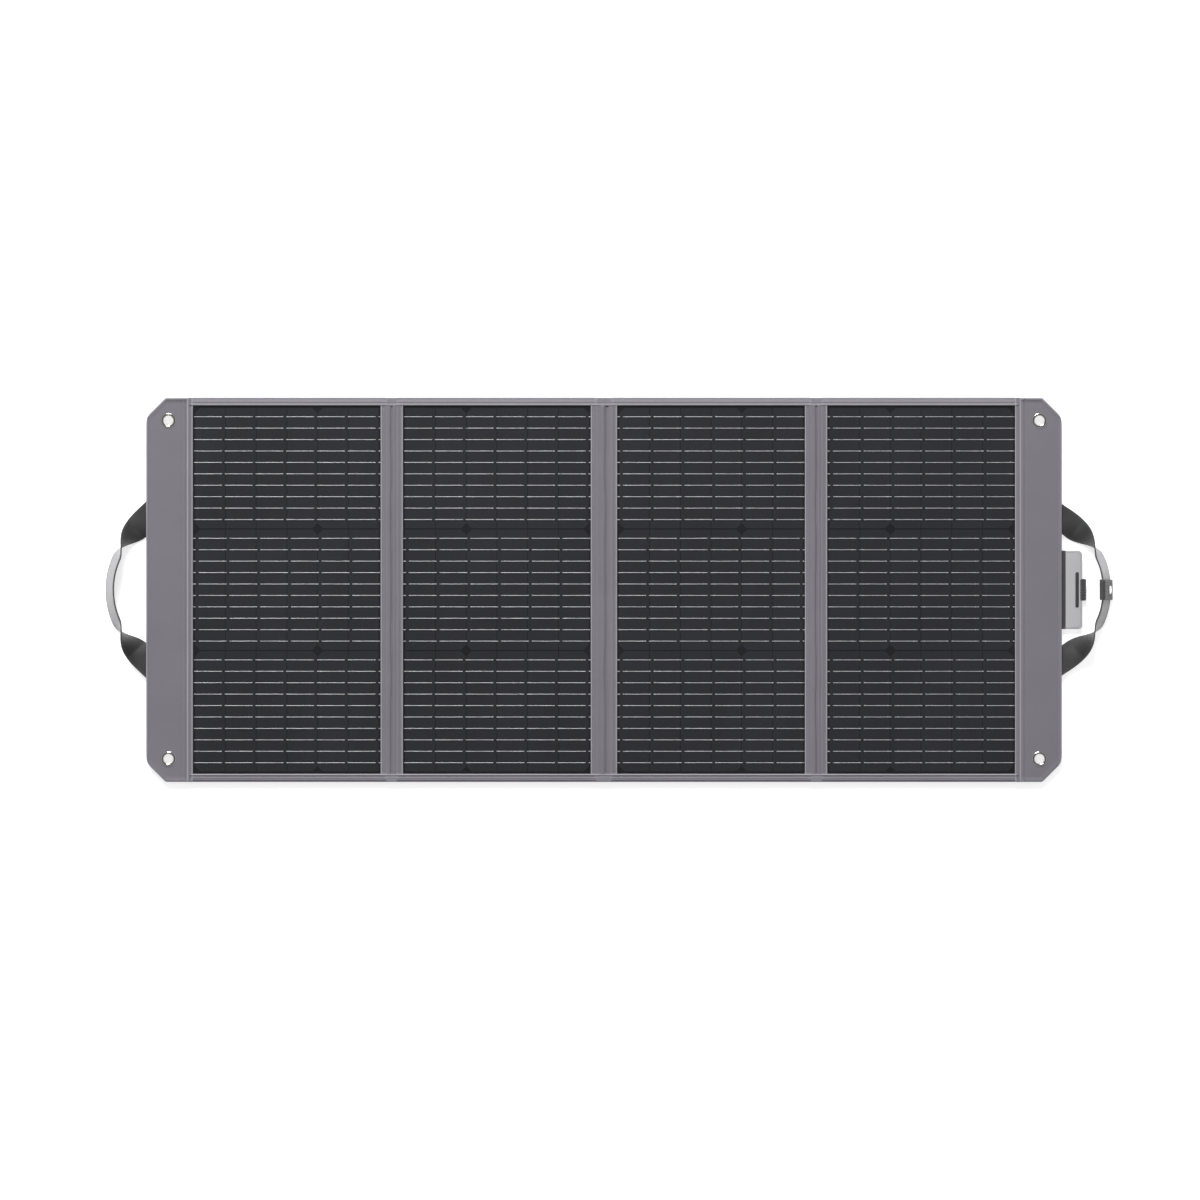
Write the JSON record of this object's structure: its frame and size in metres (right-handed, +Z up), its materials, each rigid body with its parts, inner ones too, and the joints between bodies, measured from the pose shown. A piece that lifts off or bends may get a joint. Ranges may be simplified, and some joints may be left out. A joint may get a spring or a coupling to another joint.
{
  "type": "folding solar panel",
  "caption": "Foldable fabric-covered camping solar panel with carrying handles at both ends, corner grommets, a closure flap and kickstands on the back.",
  "frame": {"origin": "middle of the unfolded object, on the ground that it lies on with the cells up", "axes": "+X along the row of panels towards the end with the closure flap, +Y across them towards the cable pocket's edge, +Z up out of the cells"},
  "size_m": [1.5279, 0.582, 0.045],
  "materials": {
    "cover_fabric": "matte woven, light grey",
    "back_fabric": "matte woven, charcoal",
    "core_board": "matte",
    "solar_cell": "satin, near black",
    "busbar_ribbon": "satin tinned",
    "front_film": "embossed clear film",
    "grommet_metal": "polished",
    "webbing": "ribbed webbing",
    "dark_trim": "dark woven trim",
    "stand_fabric": "matte woven",
    "foot_rubber": "matte moulded",
    "box_plastic": "fine texture",
    "steel_plate": "brushed",
    "zip_plastic": "matte",
    "zip_metal": "satin black",
    "snap_metal": "polished"
  },
  "bodies": {
    "panel_2": {"back_cover_2": "back_fabric", "core_board_2": "core_board", "cell_wafers_2": "solar_cell", "busbar_ribbons_2": "busbar_ribbon", "front_film_2": "front_film", "front_frame_2": "cover_fabric", "fold_gusset_2": "cover_fabric"},
    "panel_1": {"back_cover_1": "back_fabric", "core_board_1": "core_board", "cell_wafers_1": "solar_cell", "busbar_ribbons_1": "busbar_ribbon", "front_film_1": "front_film", "front_frame_1": "cover_fabric", "fold_gusset_1": "cover_fabric", "end_flap_left": "cover_fabric", "flap_board_left": "core_board", "grommets_left": "grommet_metal", "handle_tails_left": "webbing", "stand_hinge_left": "dark_trim", "stand_strap_left": "webbing", "catch_plate": "steel_plate", "cable_pocket": "stand_fabric", "zip_tape": "zip_plastic", "junction_box": "box_plastic", "junction_lid": "box_plastic", "cable_gland": "box_plastic"},
    "panel_3": {"back_cover_3": "back_fabric", "core_board_3": "core_board", "cell_wafers_3": "solar_cell", "busbar_ribbons_3": "busbar_ribbon", "front_film_3": "front_film", "front_frame_3": "cover_fabric"},
    "panel_4": {"back_cover_4": "back_fabric", "core_board_4": "core_board", "cell_wafers_4": "solar_cell", "busbar_ribbons_4": "busbar_ribbon", "front_film_4": "front_film", "front_frame_4": "cover_fabric", "fold_gusset_3": "cover_fabric", "end_flap_right": "cover_fabric", "flap_board_right": "core_board", "grommets_right": "grommet_metal", "handle_tails_right": "webbing", "stand_hinge_right": "dark_trim", "stand_strap_right": "webbing"},
    "handle_left": {"handle_strap_left": "webbing"},
    "stand_left": {"stand_board_left": "core_board", "stand_cover_left": "stand_fabric", "stand_foot_left": "foot_rubber"},
    "handle_right": {"handle_strap_right": "webbing", "grip_wrap": "dark_trim"},
    "stand_right": {"stand_board_right": "core_board", "stand_cover_right": "stand_fabric", "stand_foot_right": "foot_rubber"},
    "zip_slider": {"zip_slider": "zip_metal"},
    "grip_tab": {"grip_tab": "dark_trim", "grip_snap": "snap_metal"},
    "closure_flap": {"closure_flap": "cover_fabric", "magnet_bar": "dark_trim", "pull_tab": "dark_trim"}
  },
  "joints": [
    {"name": "fold_left", "type": "hinge", "parent": "panel_2", "child": "panel_1", "pos_m": [-0.321, 0, 0.0148], "axis": [0, 1, 0], "range_deg": [0, 176], "deforming": ["fold_gusset_1"]},
    {"name": "fold_middle", "type": "hinge", "parent": "panel_2", "child": "panel_3", "pos_m": [0, 0, 0.008], "axis": [0, 1, 0], "range_deg": [0, 177], "deforming": ["fold_gusset_2"]},
    {"name": "fold_right", "type": "hinge", "parent": "panel_3", "child": "panel_4", "pos_m": [0.321, 0, 0.0148], "axis": [0, -1, 0], "range_deg": [0, 175], "deforming": ["fold_gusset_3"]},
    {"name": "handle_left_swing", "type": "hinge", "parent": "panel_1", "child": "handle_left", "pos_m": [-0.6943, 0, 0.008], "axis": [0, -1, 0], "range_deg": [-82, 75]},
    {"name": "handle_right_swing", "type": "hinge", "parent": "panel_4", "child": "handle_right", "pos_m": [0.6943, 0, 0.008], "axis": [0, 1, 0], "range_deg": [-82, 75]},
    {"name": "grip_tab_open", "type": "hinge", "parent": "handle_right", "child": "grip_tab", "pos_m": [0.75238, 0, 0.0443], "axis": [0, -1, 0], "range_deg": [0, 150]},
    {"name": "closure_flap_fold", "type": "hinge", "parent": "panel_4", "child": "closure_flap", "pos_m": [0.6948, 0, 0.008], "axis": [0, -1, 0], "range_deg": [-90, 90]},
    {"name": "stand_left_open", "type": "hinge", "parent": "panel_1", "child": "stand_left", "pos_m": [-0.48, 0.117, 0.0075], "axis": [1, 0, 0], "range_deg": [0, 50], "deforming": ["stand_strap_left"]},
    {"name": "stand_right_open", "type": "hinge", "parent": "panel_4", "child": "stand_right", "pos_m": [0.48, 0.117, 0.0075], "axis": [1, 0, 0], "range_deg": [0, 50], "deforming": ["stand_strap_right"]},
    {"name": "zip_slide", "type": "slide", "parent": "panel_1", "child": "zip_slider", "axis": [1, 0, 0], "range_m": [0, 0.19]}
  ]
}
